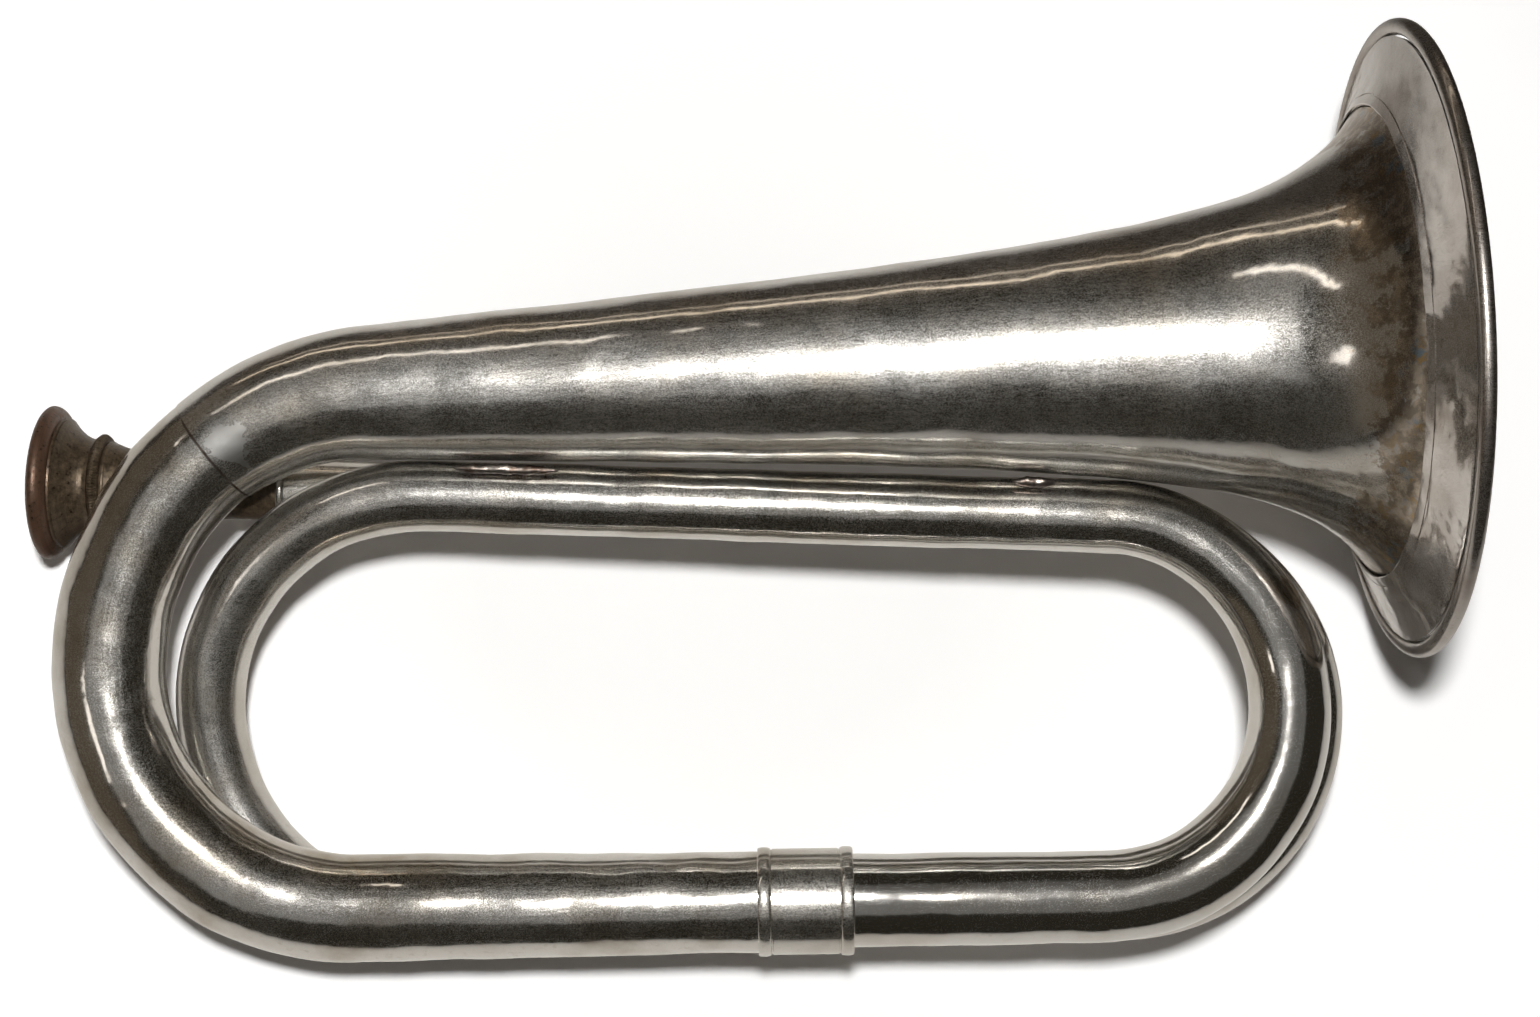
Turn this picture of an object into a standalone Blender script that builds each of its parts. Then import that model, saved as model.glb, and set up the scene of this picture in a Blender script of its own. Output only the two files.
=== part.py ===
"""Two-turn field bugle of silver-plated brass, lying on its side as it rests on a table.

Metres, +Z up. The tubing is laid out in its own coil frame: x runs from the
mouthpiece to the bell mouth, y from the bottom runs up to the bell, and z out
of the coil. The frame is then tilted so that the bell rim, the mouthpiece rim
and the rear tubing touch the ground.
"""
import math

import bpy
from mathutils import Vector

# Bell: a cone that opens into a hyperbolic flare
BELL_LENGTH = 0.1958
BELL_STEM_RADIUS = 0.0128
BELL_CONE_GROWTH = 0.0088
BELL_FLARE_LENGTH = 0.0108
BELL_MOUTH_RADIUS = 0.0586
BELL_WALL = 0.0007
BELL_RISE = math.radians(2.9)

# Garland and rolled rim
GARLAND_WIDTH = 0.0156
GARLAND_WALL = 0.0005
RIM_WIRE_RADIUS = 0.0016
RIM_LAND = 0.0020

# Bell bow and the branch that leads into it
BOW_UPPER_RADIUS = 0.0520
BOW_LOWER_RADIUS = 0.0459
BOW_SEAM_ANGLE = math.radians(35.0)
BOW_SEAM_TUBE_RADIUS = 0.0108
BOW_MIDDLE_TUBE_RADIUS = 0.01056
BRANCH_LARGE_RADIUS = 0.0102
BRANCH_SMALL_RADIUS = 0.0093
BOTTOM_RISE = math.radians(0.9)

# Ferrule over the joint in the bottom run
FERRULE_POSITION = 0.0855
FERRULE_LENGTH = 0.0180
FERRULE_WALL = 0.0004
FERRULE_BEAD_WIDTH = 0.0024
FERRULE_BEAD_HEIGHT = 0.0003
FERRULE_GROOVE = 0.0004
FERRULE_GROOVE_DEPTH = 0.00016

# Front coil
BOTTOM_TUBE_LARGE_RADIUS = 0.0089
BOTTOM_TUBE_SMALL_RADIUS = 0.0086
TOP_TUBE_LARGE_RADIUS = 0.0070
TOP_TUBE_SMALL_RADIUS = 0.0068
TOP_TOUCH_NEAR = 0.0140
TOP_END_FROM_MOUTH = 0.0568
TOP_TUBE_DEPTH = 0.0030

# Rear coil
REAR_RUN_LARGE_RADIUS = 0.0066
REAR_RUN_SMALL_RADIUS = 0.0063
REAR_RUN_START = 0.0128
REAR_RUN_DROP_LEFT = 0.0060
REAR_RUN_DROP_RIGHT = 0.0052
MOUTHPIPE_LARGE_RADIUS = 0.0061
MOUTHPIPE_SMALL_RADIUS = 0.0055
MOUTHPIPE_LIFT = 0.0010
MOUTHPIPE_SAG = 0.0012
MOUTHPIPE_OVERRUN = 0.0056
MOUTHPIPE_SHOULDER = 0.0009
INNER_BOW_CLIMB_START = 0.22
TUBE_WALL = 0.0006

# Receiver socket at the mouthpipe's end
RECEIVER_SETBACK = 0.0201
RECEIVER_LENGTH = 0.0340
RECEIVER_WALL = 0.0006
RECEIVER_RING_LENGTH = 0.0014
RECEIVER_RING_RADIUS = 0.0069
RECEIVER_RING_CHAMFER = 0.00035
RECEIVER_TO_TOP_GAP = 0.0012

# Mouthpiece
MOUTHPIECE_REACH = 0.0473
MOUTHPIECE_INSERTION = 0.0220
RIM_RADIUS = 0.0155
RIM_DEPTH = 0.0045
RIM_CROWN = 0.0019
RIM_ARC_START = math.radians(165.0)
RIM_ARC_END = math.radians(-30.0)
RIM_STEP_RADIUS = 0.0133
CUP_BORE_RADIUS = 0.0088
CUP_BASE_RADIUS = 0.0093
CUP_LENGTH = 0.0110
CUP_FLOOR_RADIUS = 0.0051
TENON_RADIUS = 0.0059
TENON_LENGTH = 0.0032
THROAT_RADIUS = 0.0021
THROAT_DEPTH = 0.0200
BACKBORE_RADIUS = 0.0036
MILLED_RING_RADIUS = 0.0098
MILLED_RING_WIDTH = 0.0018
MILLED_RING_CHAMFER = 0.00036
SHANK_BEAD_RADIUS = 0.0089
SHANK_BEAD_WIDTH = 0.0010
SHANK_NECK_RADIUS = 0.0085
SHANK_NECK_LENGTH = 0.0060
SHANK_WAIST_RADIUS = 0.0066
SHANK_FACE_RADIUS = 0.0056
SHANK_TIP_RADIUS = 0.0049
BOW_TO_SHANK_GAP = 0.0009

# Solder beads along touching tubes
SOLDER_RADIUS = 0.0011
BELL_SOLDER_NEAR_SETBACK = 0.0157
BELL_SOLDER_NEAR_LENGTH = 0.0200
BELL_SOLDER_FAR_SETBACK = 0.0144
BELL_SOLDER_FAR_LENGTH = 0.0080
REAR_SOLDER_LENGTH = 0.0140
REAR_SOLDER_SETBACK = 0.0160
MOUTHPIPE_SOLDER_LENGTH = 0.0140
MOUTHPIPE_SOLDER_SETBACK = 0.0180

# Clearances and facets
JOINT_GAP = 0.0003
SLEEVE_GAP = 0.00018
BOW_LEAD = 0.0012
SECTION_STEP = 0.00002
WELD_DISTANCE = 0.000001
BELL_STEPS = 48
BELL_STATIONS = 13
BELL_STATION_CROWDING = 2.4
GARLAND_STATIONS = 6
GARLAND_STATION_CROWDING = 0.7
RIM_WIRE_FACETS = 9
TURNED_STEPS = 32
RIM_FACETS = 8
COVE_FACETS = 4
BEAD_FACETS = 4
BOWL_FACETS = 3
LARGE_TUBE_RINGS = 8
SMALL_TUBE_RINGS = 7
SOLDER_RINGS = 2
BOW_SEGMENTS = 12
STEM_SEGMENTS = 5
UPPER_BOW_SEGMENTS = 4
LOWER_BOW_SEGMENTS = 7
SEAT_SAMPLES = 200
REST_PASSES = 40

# Finishes: colour and roughness
SILVER = ((0.60, 0.58, 0.55), 0.18)
OLD_SILVER = ((0.52, 0.49, 0.45), 0.23)
DARK_BRONZE = ((0.16, 0.11, 0.08), 0.30)
SOLDER_GREY = ((0.36, 0.31, 0.27), 0.45)


for old in list(bpy.data.objects):
    bpy.data.objects.remove(old, do_unlink=True)

bugle = bpy.data.collections.new("bugle")
bpy.context.scene.collection.children.link(bugle)
root = bpy.data.objects.new("coil_frame", None)
bugle.objects.link(root)


def metal(name, finish):
    colour, roughness = finish
    material = bpy.data.materials.new(name)
    material.use_nodes = True
    shader = material.node_tree.nodes["Principled BSDF"]
    shader.inputs["Base Color"].default_value = (*colour, 1.0)
    shader.inputs["Roughness"].default_value = roughness
    shader.inputs["Metallic"].default_value = 1.0
    return material


def add_part(name, data, parent, finish):
    part = bpy.data.objects.new(name, data)
    part.data.materials.append(metal(name, finish))
    part.parent = parent
    bugle.objects.link(part)
    return part


def turned(name, profile, parent, finish, steps=TURNED_STEPS):
    """Turn a closed (radius, height) outline about local Z. Its outer side runs downwards."""
    mesh = bpy.data.meshes.new(name)
    points = [(radius, 0.0, height) for radius, height in profile]
    edges = [(i, (i + 1) % len(points)) for i in range(len(points))]
    mesh.from_pydata(points, edges, [])
    part = add_part(name, mesh, parent, finish)
    screw = part.modifiers.new("turn", "SCREW")
    screw.axis = "Z"
    screw.angle = math.tau
    screw.steps = steps
    screw.render_steps = steps
    screw.use_merge_vertices = True
    screw.merge_threshold = WELD_DISTANCE
    screw.use_smooth_shade = True
    return part


def tube(name, path, finish, rings, wall=TUBE_WALL):
    """Bend a tube along (point, radius) pairs. It is hollow unless its wall is 0."""
    curve = bpy.data.curves.new(name, "CURVE")
    curve.dimensions = "3D"
    curve.bevel_depth = path[0][1]
    curve.bevel_resolution = rings
    curve.use_fill_caps = wall == 0.0
    spline = curve.splines.new("POLY")
    spline.points.add(len(path) - 1)
    for spot, (place, radius) in zip(spline.points, path):
        spot.co = (*place, 1.0)
        spot.radius = radius / curve.bevel_depth
    part = add_part(name, curve, root, finish)
    if wall > 0.0:
        shell = part.modifiers.new("wall", "SOLIDIFY")
        shell.thickness = wall
        shell.offset = -1.0
        shell.use_even_offset = True
    return part


def mix(a, b, t):
    return a + (b - a) * t


def heading_vector(angle):
    return Vector((math.cos(angle), math.sin(angle), 0.0))


def right_of(angle):
    return Vector((math.sin(angle), -math.cos(angle), 0.0))


def heading_of(start, end):
    return math.atan2(end.y - start.y, end.x - start.x)


def flat(point):
    return Vector((point.x, point.y, 0.0))


def trimmed(start, end, gap=JOINT_GAP):
    """Pull both ends of a straight run back by half a joint gap."""
    step = (end - start).normalized() * gap / 2
    return start + step, end - step


def run_path(start, end, start_radius, end_radius):
    first, last = trimmed(start, end)
    return [(first, start_radius), (last, end_radius)]


def turn_between(start, start_heading, line_point, line_heading):
    """Radius and centre of the clockwise bow from a start point onto a straight line."""
    inward = right_of(start_heading)
    line_normal = right_of(line_heading)
    distance = (flat(start) - flat(line_point)).dot(line_normal)
    radius = distance / (1.0 - inward.dot(line_normal))
    return flat(start) + inward * radius, radius


def bow_path(start, end, centre, radius, start_heading, end_heading, radii, segments, climb_start=0.0):
    """Points along a clockwise bow with straight leads, climbing from start.z to end.z."""
    path = [(start + heading_vector(start_heading) * JOINT_GAP / 2, radii[0])]
    for i in range(segments + 1):
        t = i / segments
        angle = mix(start_heading, end_heading, t)
        place = centre - right_of(angle) * radius
        rise = min(max((t - climb_start) / (1.0 - climb_start), 0.0), 1.0)
        place.z = mix(start.z, end.z, (1.0 - math.cos(math.pi * rise)) / 2)
        if i == 0:
            place = place + heading_vector(angle) * BOW_LEAD
        if i == segments:
            place = place - heading_vector(angle) * BOW_LEAD
        path.append((place, mix(radii[0], radii[1], t)))
    path.append((end - heading_vector(end_heading) * JOINT_GAP / 2, radii[1]))
    return path


def side_offset(distance, depth):
    """How far apart two round tubes lie across the coil when one is set back in depth."""
    return math.sqrt(distance ** 2 - depth ** 2)


# Bell sheet, measured from the stem along the bell's axis
flare_share = 1.0 / BELL_FLARE_LENGTH - 1.0 / (BELL_LENGTH + BELL_FLARE_LENGTH)
flare_size = (BELL_MOUTH_RADIUS - BELL_STEM_RADIUS - BELL_CONE_GROWTH) / flare_share


def bell_radius(along):
    from_mouth = BELL_LENGTH - along
    stem_part = BELL_STEM_RADIUS - flare_size / (BELL_LENGTH + BELL_FLARE_LENGTH)
    cone_part = BELL_CONE_GROWTH * along / BELL_LENGTH
    return stem_part + cone_part + flare_size / (from_mouth + BELL_FLARE_LENGTH)


def sheet_point(along, offset):
    """A point of the bell sheet's section, moved outwards from its outer face by an offset."""
    rise = (bell_radius(along + SECTION_STEP) - bell_radius(along - SECTION_STEP)) / (2 * SECTION_STEP)
    length = math.hypot(1.0, rise)
    return bell_radius(along) + offset / length, along - offset * rise / length


def along_from_mouth(distance):
    """Where the bell sheet lies a given distance, along its section, inside the mouth."""
    along = BELL_LENGTH
    travelled = 0.0
    while travelled < distance:
        rise = bell_radius(along) - bell_radius(along - SECTION_STEP)
        travelled += math.hypot(SECTION_STEP, rise)
        along -= SECTION_STEP
    return along


def crown(base, height, top, foot):
    """A half-round bead on a turned outline, from its top down to its foot."""
    points = []
    for i in range(BEAD_FACETS + 1):
        angle = math.pi * i / BEAD_FACETS
        points.append((base + height * math.sin(angle), mix(top, foot, (1.0 - math.cos(angle)) / 2)))
    return points


def cove(top_radius, foot_radius, top, foot):
    """A hollow curve on a turned outline, which narrows fastest at its top."""
    points = []
    for i in range(COVE_FACETS + 1):
        t = i / COVE_FACETS
        points.append((mix(top_radius, foot_radius, 1.0 - (1.0 - t) ** 2), mix(top, foot, t)))
    return points


# Coil layout. The bell's stem starts at the origin.
stem_start = Vector((0.0, 0.0, 0.0))
bell_axis = heading_vector(BELL_RISE)
bell_side = right_of(BELL_RISE)
bell_mouth = stem_start + bell_axis * BELL_LENGTH

upper_centre = stem_start + bell_side * BOW_UPPER_RADIUS
straight_up = math.radians(90.0)
bow_left = upper_centre - right_of(straight_up) * BOW_UPPER_RADIUS
lower_centre = bow_left + right_of(straight_up) * BOW_LOWER_RADIUS
branch_heading = math.radians(180.0) + BOTTOM_RISE
branch_end = lower_centre - right_of(branch_heading) * BOW_LOWER_RADIUS
seam_heading = BELL_RISE + BOW_SEAM_ANGLE
seam = upper_centre - right_of(seam_heading) * BOW_UPPER_RADIUS
ferrule_middle = branch_end - heading_vector(branch_heading) * FERRULE_POSITION

# Top run, laid along the bell and set back behind it. It meets the bell near the stem,
# and again where the bow past its end just clears the flare.
top_run_end = BELL_LENGTH - TOP_END_FROM_MOUTH
near_reach = bell_radius(TOP_TOUCH_NEAR) + TOP_TUBE_SMALL_RADIUS + JOINT_GAP
near_offset = side_offset(near_reach, TOP_TUBE_DEPTH)
bow_guess = (BOW_UPPER_RADIUS + BOW_LOWER_RADIUS - near_offset) / 2
top_slope = 0.0
for i in range(SEAT_SAMPLES):
    station = mix(top_run_end / 2, BELL_LENGTH, i / SEAT_SAMPLES)
    reach, along = sheet_point(station, TOP_TUBE_LARGE_RADIUS + JOINT_GAP)
    past_end = max(along - top_run_end, 0.0)
    if past_end < bow_guess:
        drop = bow_guess - side_offset(bow_guess, past_end)
        offset = side_offset(reach, TOP_TUBE_DEPTH) - drop
        top_slope = max(top_slope, (offset - near_offset) / (along - TOP_TOUCH_NEAR))
top_heading = BELL_RISE - math.atan(top_slope)
top_touch = stem_start + bell_axis * TOP_TOUCH_NEAR + bell_side * near_offset
top_touch = top_touch - Vector((0.0, 0.0, TOP_TUBE_DEPTH))
top_end = top_touch + heading_vector(top_heading) * (top_run_end - TOP_TOUCH_NEAR)

# Front right bow and the bottom run
right_centre, right_radius = turn_between(top_end, top_heading, branch_end, branch_heading)
bottom_start = right_centre - right_of(branch_heading) * right_radius
right_turn_end = branch_heading - math.tau

# Rear bottom run, behind the bell bow at its left and against the ferrule's right bead
ferrule_half = FERRULE_LENGTH / 2
branch_bore = mix(BRANCH_SMALL_RADIUS, BRANCH_LARGE_RADIUS, ferrule_half / FERRULE_POSITION) + SLEEVE_GAP
tube_bore = BOTTOM_TUBE_LARGE_RADIUS + SLEEVE_GAP
ferrule_radius = max(branch_bore, tube_bore) + FERRULE_WALL
bead_radius = ferrule_radius + FERRULE_BEAD_HEIGHT
bow_crossing_depth = BOW_SEAM_TUBE_RADIUS + REAR_RUN_LARGE_RADIUS + JOINT_GAP
rear_end = branch_end - heading_vector(branch_heading) * REAR_RUN_START
rear_end = rear_end - right_of(branch_heading) * REAR_RUN_DROP_LEFT - Vector((0.0, 0.0, bow_crossing_depth))
rear_seat = ferrule_middle - heading_vector(branch_heading) * ferrule_half
seat_depth = side_offset(bead_radius + REAR_RUN_LARGE_RADIUS + JOINT_GAP, REAR_RUN_DROP_RIGHT)
rear_seat = rear_seat - right_of(branch_heading) * REAR_RUN_DROP_RIGHT - Vector((0.0, 0.0, seat_depth))
rear_heading = heading_of(rear_seat, rear_end) % math.tau
rear_slope = (rear_end - rear_seat) / (flat(rear_end) - flat(rear_seat)).length

# Left inner bow, from the rear run up to the top run
inner_centre, inner_radius = turn_between(rear_end, rear_heading, top_end, top_heading)
top_start = inner_centre - right_of(top_heading) * inner_radius
top_start.z = top_end.z

# Mouthpipe and the rear right bow
mouthpipe_end = top_end + heading_vector(top_heading) * MOUTHPIPE_OVERRUN
mouthpipe_end += right_of(top_heading) * MOUTHPIPE_SAG
mouthpipe_reach = TOP_TUBE_LARGE_RADIUS + MOUTHPIPE_LARGE_RADIUS + JOINT_GAP
mouthpipe_end.z = top_end.z - side_offset(mouthpipe_reach, MOUTHPIPE_SAG)
socket_radius = SHANK_FACE_RADIUS + SLEEVE_GAP
receiver_radius = socket_radius + RECEIVER_WALL
bow_depth = BOW_SEAM_TUBE_RADIUS + SHANK_WAIST_RADIUS + BOW_TO_SHANK_GAP
top_depth = TOP_TUBE_DEPTH + TOP_TUBE_SMALL_RADIUS + receiver_radius + RECEIVER_TO_TOP_GAP
receiver_face = stem_start - heading_vector(top_heading) * RECEIVER_SETBACK
receiver_face += Vector((0.0, top_start.y - receiver_face.y + MOUTHPIPE_LIFT, -max(bow_depth, top_depth)))
mouthpipe_axis = (mouthpipe_end - receiver_face).normalized()
mouthpipe_heading = heading_of(receiver_face, mouthpipe_end)
rear_centre, rear_radius = turn_between(mouthpipe_end, mouthpipe_heading, rear_end, rear_heading - math.tau)
rear_start = rear_centre - right_of(rear_heading) * rear_radius
rear_start.z = rear_end.z - rear_slope.z * (flat(rear_start) - flat(rear_end)).length


def axis_frame(name, place, direction):
    """An empty at a point of the coil frame whose Z lies along a piece's own axis."""
    empty = bpy.data.objects.new(name, None)
    empty.parent = root
    empty.location = place
    empty.rotation_mode = "QUATERNION"
    empty.rotation_quaternion = direction.to_track_quat("Z", "Y")
    bugle.objects.link(empty)
    return empty


# Bell, with its garland lapped over the mouth and the rim wire rolled in
bell_frame = axis_frame("bell_axis", stem_start, bell_axis)
sheet_end = along_from_mouth(RIM_WIRE_RADIUS + JOINT_GAP)
garland_edge = along_from_mouth(GARLAND_WIDTH)
stations = []
for i in range(BELL_STATIONS + 1):
    share = (1.0 - i / BELL_STATIONS) ** BELL_STATION_CROWDING
    stations.append(sheet_end - (sheet_end - JOINT_GAP / 2) * share)
outer = [sheet_point(along, 0.0) for along in reversed(stations)]
inner = [sheet_point(along, -BELL_WALL) for along in stations]
turned("bell", outer + inner, bell_frame, SILVER, BELL_STEPS)

lap = []
for i in range(GARLAND_STATIONS + 1):
    lap.append(mix(garland_edge, sheet_end, (i / GARLAND_STATIONS) ** GARLAND_STATION_CROWDING))
outer = [sheet_point(along, JOINT_GAP + GARLAND_WALL) for along in reversed(lap)]
inner = [sheet_point(along, JOINT_GAP) for along in lap]
turned("garland", outer + inner, bell_frame, OLD_SILVER, BELL_STEPS)

wire = []
land = math.asin(RIM_LAND / 2 / RIM_WIRE_RADIUS)
for i in range(RIM_WIRE_FACETS + 1):
    angle = straight_up - land - (math.tau - 2 * land) * i / RIM_WIRE_FACETS
    wire.append((BELL_MOUTH_RADIUS + RIM_WIRE_RADIUS * math.cos(angle),
                 BELL_LENGTH + RIM_WIRE_RADIUS * math.sin(angle)))
turned("rim_wire", wire, bell_frame, SILVER, BELL_STEPS)

# Bell stem and bell bow, joined at the seam
stem_path = bow_path(seam, stem_start, upper_centre, BOW_UPPER_RADIUS, seam_heading, BELL_RISE,
                     (BOW_SEAM_TUBE_RADIUS, BELL_STEM_RADIUS), STEM_SEGMENTS)
tube("bell_stem", stem_path, SILVER, LARGE_TUBE_RINGS, BELL_WALL)
lower_path = bow_path(branch_end, bow_left, lower_centre, BOW_LOWER_RADIUS, branch_heading, straight_up,
                      (BRANCH_LARGE_RADIUS, BOW_MIDDLE_TUBE_RADIUS), LOWER_BOW_SEGMENTS)
upper_path = bow_path(bow_left, seam, upper_centre, BOW_UPPER_RADIUS, straight_up, seam_heading,
                      (BOW_MIDDLE_TUBE_RADIUS, BOW_SEAM_TUBE_RADIUS), UPPER_BOW_SEGMENTS)
bell_bow_path = lower_path[:-2] + [(bow_left, BOW_MIDDLE_TUBE_RADIUS)] + upper_path[2:]
tube("bell_bow", bell_bow_path, SILVER, LARGE_TUBE_RINGS)

# Bottom run: the bell branch, the small tube and the ferrule that joins them
tube("bell_branch", run_path(ferrule_middle, branch_end, BRANCH_SMALL_RADIUS, BRANCH_LARGE_RADIUS),
     SILVER, LARGE_TUBE_RINGS)
tube("bottom_tube", run_path(bottom_start, ferrule_middle, BOTTOM_TUBE_SMALL_RADIUS, BOTTOM_TUBE_LARGE_RADIUS),
     SILVER, LARGE_TUBE_RINGS)
ferrule_frame = axis_frame("ferrule_axis", ferrule_middle, -heading_vector(branch_heading))
bead_foot = ferrule_half - FERRULE_BEAD_WIDTH
end_detail = crown(ferrule_radius, FERRULE_BEAD_HEIGHT, ferrule_half, bead_foot) + [
    (ferrule_radius - FERRULE_GROOVE_DEPTH, bead_foot - FERRULE_GROOVE / 2),
    (ferrule_radius, bead_foot - FERRULE_GROOVE),
]
other_end = [(radius, -height) for radius, height in reversed(end_detail)]
bores = [(branch_bore, -ferrule_half), (branch_bore, 0.0), (tube_bore, 0.0), (tube_bore, ferrule_half)]
turned("bottom_ferrule", end_detail + other_end + bores, ferrule_frame, OLD_SILVER)

# Front right bow, top run, left inner bow
tube("front_right_bow", bow_path(top_end, bottom_start, right_centre, right_radius, top_heading, right_turn_end,
                                 (TOP_TUBE_LARGE_RADIUS, BOTTOM_TUBE_SMALL_RADIUS), BOW_SEGMENTS),
     SILVER, LARGE_TUBE_RINGS)
tube("top_tube", run_path(top_start, top_end, TOP_TUBE_SMALL_RADIUS, TOP_TUBE_LARGE_RADIUS),
     SILVER, LARGE_TUBE_RINGS)
tube("left_inner_bow", bow_path(rear_end, top_start, inner_centre, inner_radius, rear_heading, top_heading,
                                (REAR_RUN_LARGE_RADIUS, TOP_TUBE_SMALL_RADIUS), BOW_SEGMENTS,
                                INNER_BOW_CLIMB_START),
     SILVER, LARGE_TUBE_RINGS)

# Rear run, rear right bow and mouthpipe
tube("rear_bottom_tube", run_path(rear_start, rear_end, REAR_RUN_SMALL_RADIUS, REAR_RUN_LARGE_RADIUS),
     SILVER, SMALL_TUBE_RINGS)
tube("rear_right_bow", bow_path(mouthpipe_end, rear_start, rear_centre, rear_radius, mouthpipe_heading,
                                rear_heading - math.tau,
                                (MOUTHPIPE_LARGE_RADIUS, REAR_RUN_SMALL_RADIUS), BOW_SEGMENTS),
     SILVER, SMALL_TUBE_RINGS)
socket_depth = MOUTHPIECE_INSERTION + JOINT_GAP
mouthpipe_start = receiver_face + mouthpipe_axis * (socket_depth + MOUTHPIPE_SHOULDER)
tube("mouthpipe", run_path(mouthpipe_start, mouthpipe_end, MOUTHPIPE_SMALL_RADIUS, MOUTHPIPE_LARGE_RADIUS),
     SILVER, SMALL_TUBE_RINGS)

# Receiver: an end ring and a sleeve with a tapered socket, lapped over the mouthpipe
mouthpiece_frame = axis_frame("mouthpiece_axis", receiver_face, -mouthpipe_axis)
shank_taper = (SHANK_FACE_RADIUS - SHANK_TIP_RADIUS) / MOUTHPIECE_INSERTION
ring_back = -RECEIVER_RING_LENGTH
ring_edge = RECEIVER_RING_RADIUS - RECEIVER_RING_CHAMFER
turned("receiver_ring", [
    (socket_radius, 0.0),
    (ring_edge, 0.0),
    (RECEIVER_RING_RADIUS, -RECEIVER_RING_CHAMFER),
    (RECEIVER_RING_RADIUS, ring_back + RECEIVER_RING_CHAMFER),
    (ring_edge, ring_back),
    (socket_radius, ring_back),
], mouthpiece_frame, OLD_SILVER)
sleeve_front = ring_back - SLEEVE_GAP
lap_share = (RECEIVER_LENGTH - socket_depth) / (mouthpipe_end - receiver_face).length
lap_bore = mix(MOUTHPIPE_SMALL_RADIUS, MOUTHPIPE_LARGE_RADIUS, lap_share) + SLEEVE_GAP
turned("receiver_sleeve", [
    (receiver_radius, sleeve_front),
    (max(receiver_radius, lap_bore + RECEIVER_WALL), -RECEIVER_LENGTH),
    (lap_bore, -RECEIVER_LENGTH),
    (lap_bore, -socket_depth - JOINT_GAP),
    (SHANK_TIP_RADIUS + SLEEVE_GAP, -socket_depth),
    (socket_radius + shank_taper * sleeve_front, sleeve_front),
], mouthpiece_frame, OLD_SILVER)

# Mouthpiece, measured outwards from the receiver's face: cup, milled ring and shank
rim_top = MOUTHPIECE_REACH
rim_middle = rim_top - RIM_CROWN
cup_base = rim_top - CUP_LENGTH
rim = []
for i in range(RIM_FACETS + 1):
    angle = mix(RIM_ARC_START, RIM_ARC_END, i / RIM_FACETS)
    rim.append((mix(CUP_BORE_RADIUS, RIM_RADIUS, (1.0 + math.cos(angle)) / 2),
                rim_middle + RIM_CROWN * math.sin(angle)))
tenon_top = cup_base + TENON_LENGTH
tenon_socket = TENON_RADIUS + SLEEVE_GAP
bowl = []
for i in range(BOWL_FACETS):
    t = i / BOWL_FACETS
    bowl.append((mix(tenon_socket, CUP_BORE_RADIUS, math.sin(t * math.pi / 2)),
                 mix(tenon_top + SLEEVE_GAP, rim_middle, t)))
cup_side = cove(RIM_STEP_RADIUS, CUP_BASE_RADIUS, rim_top - RIM_DEPTH, cup_base)
turned("mouthpiece_cup", rim + cup_side + [(tenon_socket, cup_base)] + bowl, mouthpiece_frame, DARK_BRONZE)

ring_top = cup_base - SLEEVE_GAP
ring_foot = ring_top - MILLED_RING_WIDTH
turned("mouthpiece_milled_ring", [
    (tenon_socket, ring_top),
    (MILLED_RING_RADIUS - MILLED_RING_CHAMFER, ring_top),
    (MILLED_RING_RADIUS, ring_top - MILLED_RING_CHAMFER),
    (MILLED_RING_RADIUS, ring_foot + MILLED_RING_CHAMFER),
    (MILLED_RING_RADIUS - MILLED_RING_CHAMFER, ring_foot),
    (tenon_socket, ring_foot),
], mouthpiece_frame, DARK_BRONZE)

shank_top = ring_foot - SLEEVE_GAP
shank_bead_foot = shank_top - SHANK_BEAD_WIDTH
neck_foot = shank_bead_foot - SHANK_NECK_LENGTH
shank_bead = crown(SHANK_NECK_RADIUS, SHANK_BEAD_RADIUS - SHANK_NECK_RADIUS, shank_top, shank_bead_foot)
neck = cove(SHANK_NECK_RADIUS, SHANK_WAIST_RADIUS, shank_bead_foot, neck_foot)
throat = cove(CUP_FLOOR_RADIUS, THROAT_RADIUS, tenon_top, tenon_top - THROAT_DEPTH)
tenon = [(TENON_RADIUS, tenon_top), (TENON_RADIUS, shank_top)]
taper = [
    (SHANK_FACE_RADIUS, 0.0),
    (SHANK_TIP_RADIUS, -MOUTHPIECE_INSERTION),
    (BACKBORE_RADIUS, -MOUTHPIECE_INSERTION),
]
turned("mouthpiece_shank", tenon + shank_bead + neck[1:] + taper + throat[::-1], mouthpiece_frame, DARK_BRONZE)


def run_spot(run, along_x):
    """The centre and radius of a straight run (start, end, start radius, end radius) at a given x."""
    start, end, start_radius, end_radius = run
    share = (along_x - start.x) / (end.x - start.x)
    return mix(start, end, share), mix(start_radius, end_radius, share)


def solder_bead(name, first, second, along, toward, length):
    """A solder bead in the groove between two tubes, each given by its (centre, radius)."""
    (place_a, radius_a), (place_b, radius_b) = first, second
    across = place_b - place_a
    across -= along * across.dot(along)
    span = across.length
    across.normalize()
    reach_a = radius_a + SOLDER_RADIUS + JOINT_GAP
    reach_b = radius_b + SOLDER_RADIUS + JOINT_GAP
    inwards = (span ** 2 + reach_a ** 2 - reach_b ** 2) / (2 * span)
    outwards = math.sqrt(max(reach_a ** 2 - inwards ** 2, 0.0))
    side = across.cross(along)
    if side.dot(toward) < 0.0:
        side.negate()
    middle = place_a + across * inwards + side * outwards
    half_length = along * length / 2
    path = [(middle - half_length, SOLDER_RADIUS), (middle + half_length, SOLDER_RADIUS)]
    return tube(name, path, SOLDER_GREY, SOLDER_RINGS, 0.0)


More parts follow.
